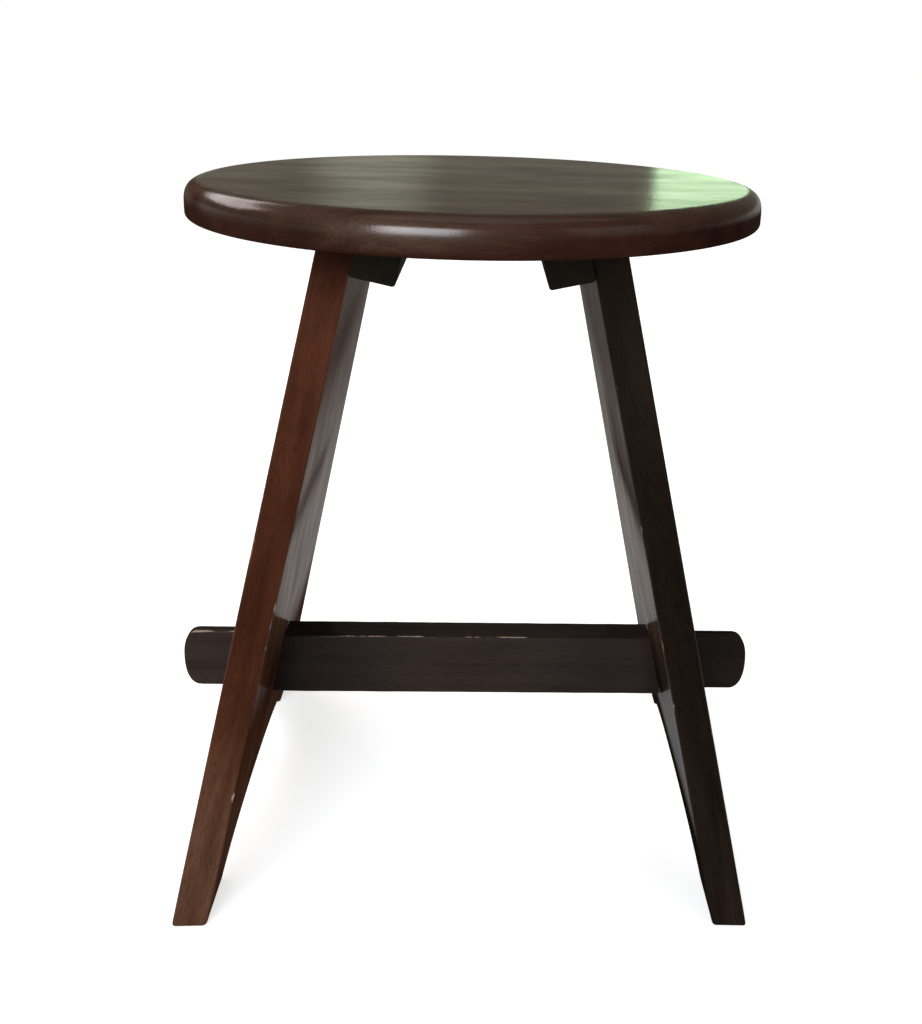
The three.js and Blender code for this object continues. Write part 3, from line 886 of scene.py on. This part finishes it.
def mark_leg(made, m, name, side):
    """Paints how worn a leg is, with its painted glint; its paler tone, with its painted reflection; its
    gloss; and its darkening, with its painted shade and shadow.
    """

    def depth(p):
        return (m.foot_spread / 2 - side * p.x) * m.cos - p.z * m.sin

    def inner(p):
        return ramp(depth(p), m.leg_thickness - INNER_FACE * m.arris, m.leg_thickness)

    def broad(p):
        return ramp(abs(depth(p) / m.leg_thickness - 0.5), *BROAD_FACES)

    def above_rail(p):
        return ramp(p.z + ABOVE_RAIL_FALL * min(p.y, 0.0), *ABOVE_RAIL)

    # Painted dark bands of reflection on the inner faces, where they are also less glossy.
    def dulled(p):
        return inner(p) * darkening_at(INNER_REFLECTION_BANDS[name], p.z) * ramp(-p.y, *BANDS_FORWARDS)

    # A chip, and a pale line painted as a glint along the left leg's front inner arris.
    def wear(p, was):
        if side > 0 or p.y >= 0 or depth(p) <= m.leg_thickness / 2:
            return was
        if abs(p.z - CHIP_HEIGHT) < CHIP_REACH:
            return was * CHIP_WEAR
        return was * (LEG_GLINT_WEAR if LEG_GLINT_HEIGHTS[0] < p.z < LEG_GLINT_HEIGHTS[1] else 1.0)

    # Painted reflection, in the pale tone, on the inner faces above the rail, and scuffs at the feet.
    def faded(p, was):
        scuffed = SCUFFED[name] * (1 - ramp(p.z, *SCUFFS_END))
        return max(INNER_FLOOR_REFLECTION * inner(p) * above_rail(p), scuffed)

    def gloss(p, was):
        edges = LOW_EDGE_GLOSS + HIGH_EDGE_GLOSS * ramp(p.z, *EDGE_GLOSS_UPWARDS)
        bright = above_rail(p) if side < 0 else ramp(p.z, *RIGHT_FACE_UPWARDS)
        face = FACE_GLOSS * bright * (1 - TOP_DULL * ramp(p.z, *TOP_DULL_UPWARDS)) * (1 - dulled(p))
        return edges + (face - edges) * broad(p)

    # Darker edges, with painted shade under the seat; the painted shadow of the rail on the inner face; and
    # painted dark bands of reflection.
    def grime(p, was):
        edge = (1 - broad(p)) * darkening_at(EDGE_DARK_BANDS[name], p.z)
        sloped = p.z + CORNER_SLOPE * (p.y + CORNER_FRONT)
        corner = RAIL_SHADOW[name] * spot(sloped, CORNER_HEIGHT, CORNER_REACH)
        return edge + inner(p) * corner * ramp(-p.y, *CORNER_FORWARDS) + INNER_BAND_DARKNESS * dulled(p)

    paint(made, wear=wear, faded=faded, gloss=gloss, grime=grime)


def make_leg(m, finish, name, side):
    """Makes one plank leg with its mortise and its marks."""
    near, far = leg_outline(m, 0.0), leg_outline(m, m.leg_thickness)
    material = varnished_hardwood(
        f"Varnished hardwood, {name} leg",
        finish,
        f"{name}_leg_stain",
        turn=(0, math.pi / 2 + side * m.leg_lean, 0),
        offset=(0.11 * side - 0.06, 0.4, 0.3),
        **LEG_VARNISH,
    )
    radii = m.arris * uneven(near, 3.0 + side, 0.3)
    radii *= np.array([1 + FOOT_ARRIS * (1 - ramp(p[1], *FOOT_ARRIS_UPWARDS)) for p in near])

    def place(p, depth):
        return m.on_leg(depth, p[0], p[1], side)

    loops, wear = board_loops(near, far, m.leg_thickness, radii, LEG_ARRIS_STEPS, place)
    hole = [mortise_loop(m, depth, side) for depth in (0.0, m.leg_thickness)]
    made = mesh_object(f"{name}_leg_plank", shell(loops, wear, LEG_GRID, LEG_GRID_MARGIN, [hole]))
    mark_leg(made, m, name, side)
    finish_piece(made, material, "leg_wood", f"{name}_leg")


class STOOL_OT_legs(bpy.types.Operator):
    """Make the two plank legs, with their arched feet and mortises"""

    bl_idname = "stool.legs"
    bl_label = "Make Legs"

    def execute(self, context):
        m = Measures(context.scene.stool_sizes)
        for name, side in SIDES:
            make_leg(m, context.scene.stool_finish, name, side)
        return {"FINISHED"}


# Cleats and screws

CLEAT_LOWER_CORNER, CLEAT_UPPER_CORNER, CLEAT_ARRIS = 1.8 * MM, 1.2 * MM, 1.1 * MM
CLEAT_CORNER_STEPS, CLEAT_ARRIS_STEPS, CLEAT_SPANS = 5, 4, (6, 6, 6, 8)
CLEAT_GRID, CLEAT_GRID_MARGIN = 5 * MM, 2 * MM
CLEAT_WEAR = 0.8
HOLE_SIDES, HOLE_OPEN = 32, 4 * MM
SCREW_SHARP_ANGLE = math.radians(35)
SCREW_DETAILS = {
    "Tip radius": 0.4 * MM,
    "Point length": 7 * MM,
    "Thread pitch": 1.8 * MM,
    "Thread depth": 1.0 * MM,
    "Plain shank": 12 * MM,
    "Slot width": 1.2 * MM,
    "Slot depth": 1.2 * MM,
}
SCREW_SIZES = ("Length", "Head radius", "Shank radius", "Head height", *SCREW_DETAILS)
SCREW_ROWS, SCREW_SIDES = 110, 24


def screw_places(m):
    """Both kinds of screw on one side, each with its places, whether it points up the lean, and its length.

    A place is a depth from the leg's outer face, then across, then up the lean.
    """
    seat_depth = m.cleat_face + m.cleat_thickness / 2
    start = m.cleat_bottom + m.screw_sink
    seat_length = m.along_lean(m.seat_underside, seat_depth) - start + m.screw_bite
    leg_length = m.cleat_thickness - m.screw_sink + m.fit_gap + m.screw_bite
    leg_depth = m.cleat_face + m.cleat_thickness - m.screw_sink
    leg_up = m.cleat_bottom + m.cleat_height / 2
    return {
        "seat": ([(seat_depth, k * m.seat_screw_spacing, start) for k in (-1, 0, 1)], True, seat_length),
        "leg": ([(leg_depth, k * m.leg_screw_spacing / 2, leg_up) for k in (-1, 1)], False, leg_length),
    }


def screw_pose(m, place, upward, side):
    """Matrix that puts a screw, made along Z from its head, in its place."""
    depth, across, up = place
    at = m.on_leg(depth, across, up, side)
    ahead = (depth, across, up + 1) if upward else (depth - 1, across, up)
    axis = m.on_leg(*ahead, side) - at
    level = Vector((0, 1, 0))
    turn = Matrix((level.cross(axis), level, axis)).transposed().to_quaternion()
    return Matrix.LocRotScale(at, turn, None)


def screw_hole(bm, m, pose, deep):
    """Adds the hole of one screw: open past its head, a cone for it, and a bore for its shank."""
    head, shank = m.screw_head / 2 + m.fit_gap, m.screw_shank / 2 + m.fit_gap
    turns = [math.tau * k / HOLE_SIDES for k in range(HOLE_SIDES)]
    rows = []
    for z, radius in ((-HOLE_OPEN, head), (0.0, head), (m.screw_head_height, shank), (deep, shank)):
        ring = [Vector((radius * math.cos(t), radius * math.sin(t), z)) for t in turns]
        rows.append([bm.verts.new(pose @ point) for point in ring])
    tube(bm, rows)
    bm.faces.new(rows[0][::-1])
    bm.faces.new(rows[-1])


def make_cleat(m, finish, name, side):
    """Makes one batten with its screw holes."""
    inner = m.cleat_face + m.cleat_thickness
    level = m.seat_underside - m.fit_gap
    corners = [
        (m.cleat_face, m.cleat_bottom),
        (inner, m.cleat_bottom),
        (inner, m.along_lean(level, inner)),
        (m.cleat_face, m.along_lean(level, m.cleat_face)),
    ]
    radii = [CLEAT_LOWER_CORNER] * 2 + [CLEAT_UPPER_CORNER] * 2
    outline = rounded_outline(corners, radii, CLEAT_CORNER_STEPS, CLEAT_SPANS)
    whole = m.leg_top_width + 2 * m.cleat_overhang
    material = varnished_hardwood(
        f"Varnished hardwood, {name} cleat",
        finish,
        "cleat_stain",
        turn=(0, 0, math.pi / 2),
        offset=(0.2 * side, 0.7, 0.1),
        **CLEAT_VARNISH,
    )

    def place(p, along):
        return m.on_leg(p[0], along - whole / 2, p[1], side)

    radii = CLEAT_ARRIS * uneven(outline, 7.0 + side, 0.1)
    loops, wear = board_loops(outline, outline, whole, radii, CLEAT_ARRIS_STEPS, place)
    made = mesh_object(f"{name}_cleat_batten", shell(loops, wear, CLEAT_GRID, CLEAT_GRID_MARGIN))
    bm = bmesh.new()
    for places, upward, screw_length in screw_places(m).values():
        for screw in places:
            screw_hole(bm, m, screw_pose(m, screw, upward, side), screw_length)
    bmesh.ops.recalc_face_normals(bm, faces=bm.faces)
    cut_or_join(made, mesh_object("holes", bm), "DIFFERENCE")
    paint(made, wear=lambda p, was: CLEAT_WEAR * was, gloss=lambda p, was: 1.0)
    finish_piece(made, material, "cleat_wood", f"{name}_cleat")


class STOOL_OT_cleats(bpy.types.Operator):
    """Make the battens that hold the seat, with their countersunk holes"""

    bl_idname = "stool.cleats"
    bl_label = "Make Cleats"

    def execute(self, context):
        m = Measures(context.scene.stool_sizes)
        for name, side in SIDES:
            make_cleat(m, context.scene.stool_finish, name, side)
        return {"FINISHED"}


def screw_tree():
    """Geometry Nodes that make a slotted countersunk wood screw along Z and set one at each host point."""
    sockets = {"Points": "Geometry", **dict.fromkeys(SCREW_SIZES, "Float"), "Rows": "Int", "Sides": "Int"}
    tree, node, given = new_tree("Wood screws", sockets)
    grid, row, share, turn = wound_grid(node, given["Rows"], given["Sides"])
    last = node(MATHS, (given["Rows"], 1.0), **MINUS)
    height = node(RANGE, (row, 1.0, node(MATHS, (last, 1.0), **MINUS), 0.0, given["Length"]))
    shank = given["Shank radius"]
    head = node(RANGE, (height, 0.0, given["Head height"], given["Head radius"], shank))
    tip_start = node(MATHS, (given["Length"], given["Point length"]), **MINUS)
    tip = node(RANGE, (height, tip_start, given["Length"], shank, given["Tip radius"]))
    slim = node(MATHS, (tip, shank), **OVER)
    pitch, plain = given["Thread pitch"], given["Plain shank"]
    turns = node(MATHS, (node(MATHS, (height, pitch), **OVER), share), **MINUS)
    groove = node(MATHS, (turns, 0.5), operation="PINGPONG")
    threaded = node(RANGE, (height, plain, node(MATHS, (plain, pitch), operation="ADD")))
    for factor in (given["Thread depth"], threaded, slim):
        groove = node(MATHS, (groove, factor), **TIMES)
    radius = node(MATHS, (node(MATHS, (head, slim), **TIMES), groove), **MINUS)
    for end in (
        node(MATHS, (row, 0.5), operation="GREATER_THAN"),
        node(MATHS, (row, node(MATHS, (last, 0.5), **MINUS)), operation="LESS_THAN"),
    ):
        radius = node(MATHS, (radius, end), **TIMES)
    x, y = (
        node(MATHS, (radius, node(MATHS, (turn,), operation=name)), **TIMES) for name in ("COSINE", "SINE")
    )
    closed = welded(node, grid, node("ShaderNodeCombineXYZ", (x, y, height)))
    facing = node("GeometryNodeFlipFaces", (closed,))
    across = node(MATHS, (given["Head radius"], 4.0), **TIMES)
    deep = node(MATHS, (given["Slot depth"], 2.0), **TIMES)
    size = node("ShaderNodeCombineXYZ", (across, given["Slot width"], deep))
    slot = node("GeometryNodeMeshCube", {"Size": size}, "Mesh")
    meshes = {"Mesh 1": facing, "Mesh 2": slot}
    screw = node("GeometryNodeMeshBoolean", meshes, operation="DIFFERENCE", solver="EXACT")
    pose = node("GeometryNodeInputNamedAttribute", {"Name": "turn"}, data_type="FLOAT_VECTOR")
    pose = node("FunctionNodeEulerToRotation", (pose,))
    placed = {"Points": given["Points"], "Instance": screw, "Rotation": pose}
    end_tree(node, node("GeometryNodeInstanceOnPoints", placed), given)
    return tree


class STOOL_OT_screws(bpy.types.Operator):
    """Set the slotted screws in the cleats"""

    bl_idname = "stool.screws"
    bl_label = "Make Screws"

    def execute(self, context):
        m = Measures(context.scene.stool_sizes)
        material = turned_steel("Turned steel screws", context.scene.stool_finish)
        tree = screw_tree()
        for kind, (places, upward, screw_length) in screw_places(m).items():
            poses = [screw_pose(m, place, upward, side) for side in (1, -1) for place in places]
            bm = bmesh.new()
            turn = bm.verts.layers.float_vector.new("turn")
            for pose in poses:
                bm.verts.new(pose.to_translation())[turn] = Vector(pose.to_euler("XYZ"))
            made = mesh_object(f"{kind}_screws", bm)
            values = {
                "Length": screw_length,
                "Head radius": m.screw_head / 2,
                "Shank radius": m.screw_shank / 2,
                "Head height": m.screw_head_height,
                **SCREW_DETAILS,
                "Rows": SCREW_ROWS,
                "Sides": SCREW_SIDES,
                "Material": material,
            }
            run_tree(made, tree, values)
            made.data.shade_smooth()
            made.data.set_sharp_from_angle(angle=SCREW_SHARP_ANGLE)
            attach(made, "root")
            numbers = range(1, len(places) + 1)
            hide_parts(*[f"{side}_{kind}_screw_{k}" for side in ("right", "left") for k in numbers])
        return {"FINISHED"}


# Rail

RAIL_STATIONS, RAIL_CORNER_STEPS, RAIL_SPANS = 72, 5, (6, 12, 6, 12)
RAIL_SWING, RAIL_WAVES = 0.3, 8
RAIL_GRID, RAIL_GRID_MARGIN = 5 * MM, 2 * MM
RAIL_ARRIS_SHARPNESS = 0.8
TENON_GRID, TENON_GRID_MARGIN = 6 * MM, 3 * MM
# The tenon's end lies between a round one, for which this would be 2, and a square one.
TENON_ROUNDNESS = 2.4
TENON_END_STEPS, TENON_PIECES, TENON_ARRIS_STEPS = 40, 80, 5
RIGHT_TENON_SHORT = 0.8 * MM

# Marks on the rail: the two places on its front upper arris where a pale line is painted as a glint, the
# painted light on the left tenon, the painted sheen in the middle, the painted shade on the right tenon, and
# where it is glossy
TOP_GLINT_PLACE, TOP_GLINT_REACH, TOP_GLINT_WEAR = -0.025, 0.07, 1.42
LEFT_TENON_START, LEFT_TENON_GLINT, RAIL_WEAR = -0.13, 1.3, 0.92
# Painted light on the left tenon, in the pale tone
LEFT_TENON_LIGHT, LEFT_TENON_LEFTWARDS = 0.08, (0.14, 0.17)
# A painted sheen in the middle of the rail, in the pale tone
MIDDLE_SHEEN, MIDDLE_SHEEN_REACH = 0.06, 0.1
# Painted shade on the right tenon
RIGHT_TENON_SHADE, RIGHT_TENON_RIGHTWARDS = 0.3, (0.12, 0.16)
FRONT_GLOSS = 0.4


def rail_body(m):
    """Rail between the legs: its shoulders lean with them, and its long arrises are worn unevenly."""
    half_y, low, high = m.rail_thickness / 2, m.rail_underside, m.rail_underside + m.rail_height
    corners = [(half_y, high), (-half_y, high), (-half_y, low), (half_y, low)]
    reach = (m.leg_thickness + m.fit_gap) / m.cos
    loops = []
    for k in range(RAIL_STATIONS + 1):
        share = 2 * k / RAIL_STATIONS - 1
        places = [Vector((share * RAIL_WAVES, i * 5.0, 2.0)) for i in range(4)]
        radii = [m.arris * (1 + RAIL_SWING * noise.noise(place)) for place in places]
        section = rounded_outline(corners, radii, RAIL_CORNER_STEPS, RAIL_SPANS)
        loops.append([(share * (m.outer_half_span(z) - reach), y, z) for y, z in section])
    bm = shell(loops, [0.0] * len(loops), RAIL_GRID, RAIL_GRID_MARGIN)
    rubbed = bm.verts.layers.float["wear"]
    for vertex in bm.verts:
        to_side = half_y - abs(vertex.co.y)
        to_end = m.rail_height / 2 - abs(vertex.co.z - m.rail_middle)
        vertex[rubbed] = max(0.0, 1 - RAIL_ARRIS_SHARPNESS * abs(to_side - to_end) / m.arris)
    return bm


def tenon_bar(m):
    """Thin bar that runs through both legs, with an end between a round and a square one."""
    power = 2 / TENON_ROUNDNESS
    half, flank = m.tenon_height / 2, m.tenon_reach - m.tenon_end_length
    points = []
    for side in (1, -1):
        for k in range(TENON_END_STEPS + 1):
            turn = math.pi * (k / TENON_END_STEPS - 0.5)
            out = max(math.cos(turn), 0.0) ** power
            up = math.copysign(abs(math.sin(turn)) ** power, math.sin(turn))
            reach = flank + m.tenon_end_length * out - (RIGHT_TENON_SHORT if side > 0 else 0.0)
            points.append((side * reach, m.rail_middle + side * half * up))
        for k in range(1, TENON_PIECES):
            points.append((side * flank - 2 * side * flank * k / TENON_PIECES, m.rail_middle + side * half))
    outline = np.array(points)

    def place(p, depth):
        return (p[0], depth - m.tenon_thickness / 2, p[1])

    radii = m.arris * uneven(outline, 11.0, 0.25)
    loops, wear = board_loops(outline, outline, m.tenon_thickness, radii, TENON_ARRIS_STEPS, place)
    return shell(loops, wear, TENON_GRID, TENON_GRID_MARGIN)


class STOOL_OT_rail(bpy.types.Operator):
    """Make the rail and its through tenons"""

    bl_idname = "stool.rail"
    bl_label = "Make Rail"

    def execute(self, context):
        m = Measures(context.scene.stool_sizes)
        material = varnished_hardwood(
            "Varnished hardwood, rail",
            context.scene.stool_finish,
            "rail_stain",
            turn=(0, 0, 0),
            offset=(0.9, 0.33, 0.61),
            **RAIL_VARNISH,
        )
        made = mesh_object("stretcher_rail_bar", rail_body(m))
        cut_or_join(made, mesh_object("tenon", tenon_bar(m)), "UNION")
        top = m.rail_underside + m.rail_height - 2 * m.arris

        # A pale line is painted as a glint along two stretches of the front upper arris.
        def wear(p, was):
            front = p.z > top and p.y < 0
            if front and abs(p.x - TOP_GLINT_PLACE) < TOP_GLINT_REACH:
                return was * TOP_GLINT_WEAR
            return was * (LEFT_TENON_GLINT if front and p.x < LEFT_TENON_START else RAIL_WEAR)

        # Painted light on the left tenon and a painted sheen in the middle of the rail, both in the pale
        # tone.
        def faded(p, was):
            middle = 1 - ramp(abs(p.x), 0.0, MIDDLE_SHEEN_REACH)
            return LEFT_TENON_LIGHT * ramp(-p.x, *LEFT_TENON_LEFTWARDS) + MIDDLE_SHEEN * middle

        # Painted shade on the right tenon.
        def grime(p, was):
            return RIGHT_TENON_SHADE * ramp(p.x, *RIGHT_TENON_RIGHTWARDS)

        def gloss(p, was):
            return FRONT_GLOSS + (1 - FRONT_GLOSS) * ramp(p.z, top, top + 2 * m.arris)

        paint(made, wear=wear, faded=faded, grime=grime, gloss=gloss)
        finish_piece(made, material, "rail_wood", "stretcher_rail")
        return {"FINISHED"}


# Stage

PHOTO_WIDTH, PHOTO_HEIGHT = 922, 1024
FOCAL_PIXELS = 971.55
AXIS_PIXEL = (515.42, 350.0)
CAMERA_PLACE = (0.0062, -0.61081, 0.50723)
CAMERA_YAW, CAMERA_PITCH, CAMERA_ROLL = 0.03515, 0.2757, 0.02841
SENSOR_MM = 36.0
NEAREST, FARTHEST = 0.01, 100.0
FLOOR_HALF = 30.0
FLOOR_GLOW = 0.62
ROOM_LIGHT = 0.5
# What gloss shows of the room: white below this rise, dimmer above it, with a soft glow towards one lamp
HORIZON, UPPER_ROOM = (0.045, 0.075), 0.3
GLOW_TOWARD, GLOW_REACH, GLOW_STRENGTH = (-0.112, 0.988, 0.105), math.radians(4.6), 0.8
# Each lamp's place, the point that it faces, its width and height, its watts and its tint
LAMPS = {
    "Key softbox": ((-0.8, -2.24, 1.1), (-0.04, -0.17, 0.43), (1.25, 1.1), 46, "#f6f9ff"),
    "Fill softbox": ((1.9, -1.5, 1.2), (0, 0, 0.25), (1.4, 1.4), 6, "#ffffff"),
    "Overhead softbox": ((0.1, 0.2, 2.4), (0, 0, 0.4), (1.6, 1.6), 5, "#ffffff"),
    "Side window": ((-1.62, 1.04, 1.5), (-0.12, -0.13, 0.44), (1.75, 0.72), 24, "#fff4f2"),
    "Rear window": ((0.75, 2.5, 0.74), (0.75, 0, 0.74), (0.41, 0.42), 2.3, "#d6ffcb"),
}


def photo_camera(context):
    """Camera at the photograph's place and angle."""
    data = bpy.data.cameras.new("Camera")
    long_side = max(PHOTO_WIDTH, PHOTO_HEIGHT)
    data.sensor_width = SENSOR_MM
    data.lens = FOCAL_PIXELS * SENSOR_MM / long_side
    data.shift_x = (PHOTO_WIDTH / 2 - AXIS_PIXEL[0]) / long_side
    data.shift_y = (AXIS_PIXEL[1] - PHOTO_HEIGHT / 2) / long_side
    data.clip_start, data.clip_end = NEAREST, FARTHEST
    sin, cos, reach = math.sin(CAMERA_YAW), math.cos(CAMERA_YAW), math.cos(CAMERA_PITCH)
    level = Vector((cos, -sin, 0))
    ahead = Vector((sin * reach, cos * reach, -math.sin(CAMERA_PITCH)))
    above = level.cross(ahead)
    right = level * math.cos(CAMERA_ROLL) + above * math.sin(CAMERA_ROLL)
    up = above * math.cos(CAMERA_ROLL) - level * math.sin(CAMERA_ROLL)
    camera = bpy.data.objects.new("Camera", data)
    context.scene.collection.objects.link(camera)
    turn = Matrix((right, up, -ahead)).transposed().to_4x4()
    camera.matrix_world = Matrix.Translation(CAMERA_PLACE) @ turn
    context.scene.camera = camera


def softbox(name, place, target, size, watts, tint):
    """Rectangular studio lamp that faces a point and isn't seen itself."""
    data = bpy.data.lights.new(name, "AREA")
    data.shape = "RECTANGLE"
    data.size, data.size_y = size
    data.energy = watts
    data.color = linear(tint)[:3]
    lamp = bpy.data.objects.new(name, data)
    bpy.context.scene.collection.objects.link(lamp)
    lamp.location = place
    lamp.rotation_euler = (Vector(target) - Vector(place)).to_track_quat("-Z", "Y").to_euler()
    lamp.visible_camera = False


def pale_floor():
    """Pale studio floor that the camera and gloss see as white, and that keeps the stool's shadow."""
    bm = bmesh.new()
    corners = [(x * FLOOR_HALF, y * FLOOR_HALF, 0) for x, y in ((-1, -1), (1, -1), (1, 1), (-1, 1))]
    bm.faces.new([bm.verts.new(corner) for corner in corners])
    floor = mesh_object("floor", bm)
    material, node = bare_material("Pale studio floor")
    path = node("ShaderNodeLightPath", output=None)
    seen = path["Is Camera Ray"]
    for ray in ("Is Glossy Ray", "Is Transmission Ray"):
        seen = node(MATHS, (seen, path[ray]), operation="MAXIMUM")
    pale = node("ShaderNodeBsdfDiffuse", {"Color": linear("#e4e4e4")})
    glow = node("ShaderNodeEmission", {"Color": linear("#ffffff"), "Strength": FLOOR_GLOW})
    both = node("ShaderNodeAddShader", (pale, glow))
    node("ShaderNodeOutputMaterial", {"Surface": node("ShaderNodeMixShader", (seen, pale, both))})
    floor.data.materials.append(material)


def studio_world(context):
    """Plain studio round the stool: white to the camera, and a soft room to the gloss."""
    world = bpy.data.worlds.new("Studio")
    context.scene.world = world
    world.use_nodes = True
    world.node_tree.nodes.clear()
    node = partial(add, world.node_tree)
    path = node("ShaderNodeLightPath", output=None)
    toward = node("ShaderNodeTexCoord", output="Generated")
    rise = node("ShaderNodeSeparateXYZ", (toward,), "Z")
    room = node(RANGE, (rise, *HORIZON, 1.0, UPPER_ROOM), interpolation_type="SMOOTHSTEP")
    aim = node("ShaderNodeVectorMath", (toward, GLOW_TOWARD), "Value", operation="DOT_PRODUCT")
    glow = (aim, math.cos(GLOW_REACH), 1.0, 0.0, GLOW_STRENGTH)
    glow = node(RANGE, glow, interpolation_type="SMOOTHSTEP")
    bright = node(MATHS, (room, glow), operation="ADD")
    white, shown, light = (
        node("ShaderNodeBackground", {"Color": linear(code), "Strength": strength})
        for code, strength in (("#ffffff", 1.0), ("#fbffe8", bright), ("#ffffff", ROOM_LIGHT))
    )
    gloss = node(MATHS, (path["Is Glossy Ray"], path["Is Transmission Ray"]), operation="MAXIMUM")
    lit = node("ShaderNodeMixShader", (gloss, light, shown))
    seen = node("ShaderNodeMixShader", (path["Is Camera Ray"], lit, white))
    node("ShaderNodeOutputWorld", {"Surface": seen})


class STOOL_OT_stage(bpy.types.Operator):
    """Set the pale floor, the studio light and the camera"""

    bl_idname = "stool.stage"
    bl_label = "Set Stage"

    def execute(self, context):
        photo_camera(context)
        pale_floor()
        studio_world(context)
        for name, lamp in LAMPS.items():
            softbox(name, *lamp)
        context.scene.view_settings.view_transform = "Standard"
        return {"FINISHED"}


class STOOL_PT_panel(bpy.types.Panel):
    """Sizes, colours and pieces of the stool"""

    bl_idname = "STOOL_PT_panel"
    bl_label = "Stool"
    bl_space_type = "VIEW_3D"
    bl_region_type = "UI"
    bl_category = "Stool"

    def draw(self, context):
        for operator in OPERATORS:
            self.layout.operator(operator.bl_idname)
        for group in (context.scene.stool_sizes, context.scene.stool_finish):
            box = self.layout.box()
            for key in group.__annotations__:
                box.prop(group, key)


OPERATORS = (STOOL_OT_seat, STOOL_OT_legs, STOOL_OT_cleats, STOOL_OT_screws, STOOL_OT_rail, STOOL_OT_stage)
CLASSES = (StoolSizes, StoolFinish, *OPERATORS, STOOL_PT_panel)


def register():
    for item in CLASSES:
        bpy.utils.register_class(item)
    bpy.types.Scene.stool_sizes = bpy.props.PointerProperty(type=StoolSizes)
    bpy.types.Scene.stool_finish = bpy.props.PointerProperty(type=StoolFinish)


def unregister():
    del bpy.types.Scene.stool_finish
    del bpy.types.Scene.stool_sizes
    for item in reversed(CLASSES):
        bpy.utils.unregister_class(item)


def main():
    register()
    bpy.ops.stool.seat()
    bpy.ops.stool.legs()
    bpy.ops.stool.cleats()
    bpy.ops.stool.screws()
    bpy.ops.stool.rail()
    bpy.ops.stool.stage()


if __name__ == "__main__":
    main()
